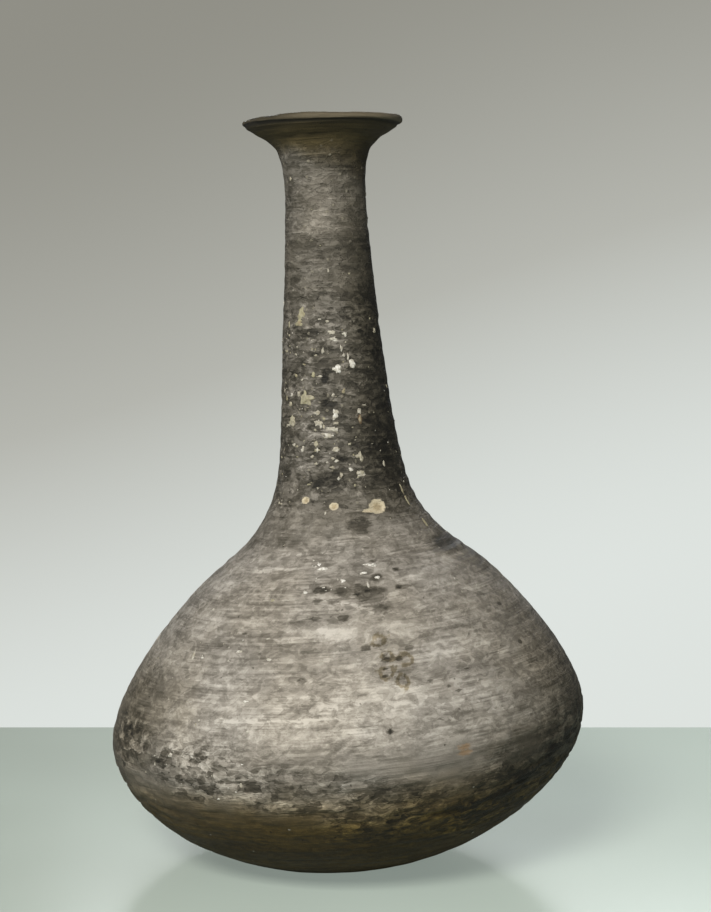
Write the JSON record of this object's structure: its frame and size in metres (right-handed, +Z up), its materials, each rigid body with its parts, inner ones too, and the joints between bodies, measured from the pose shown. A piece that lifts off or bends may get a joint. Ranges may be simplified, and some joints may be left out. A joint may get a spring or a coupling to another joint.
{
  "type": "long-necked pottery bottle",
  "caption": "Free-standing grey pottery bottle with a low round belly, a small flat under a round base, a long tapering neck and a trumpet lip.",
  "frame": {"origin": "middle of the small flat under the round base, on the surface that the bottle stands on", "axes": "+Z up, along the bottle's height; the bottle leans a little towards -X; +Y away from the side that the belly's marks are on"},
  "size_m": [0.164, 0.164, 0.2589],
  "materials": {
    "scraped_clay": "matt grey-brown fired clay, scraped smooth, darker and browner towards the base",
    "burnished_clay": "warm grey fired clay with level burnishing streaks, soft sheen, dusty and stained",
    "sooted_clay": "dusty grey to charcoal fired clay, pitted, speckled with lime",
    "joint_slip": "matt pale grey clay slip in the joints",
    "lime_crust": "chalky cream lime crust and spalls on the neck"
  },
  "bodies": {
    "root": {"lower_body": "scraped_clay", "belly_joint_slip": "joint_slip", "upper_body": "burnished_clay", "neck_joint_slip": "joint_slip", "neck": "sooted_clay"}
  },
  "joints": []
}
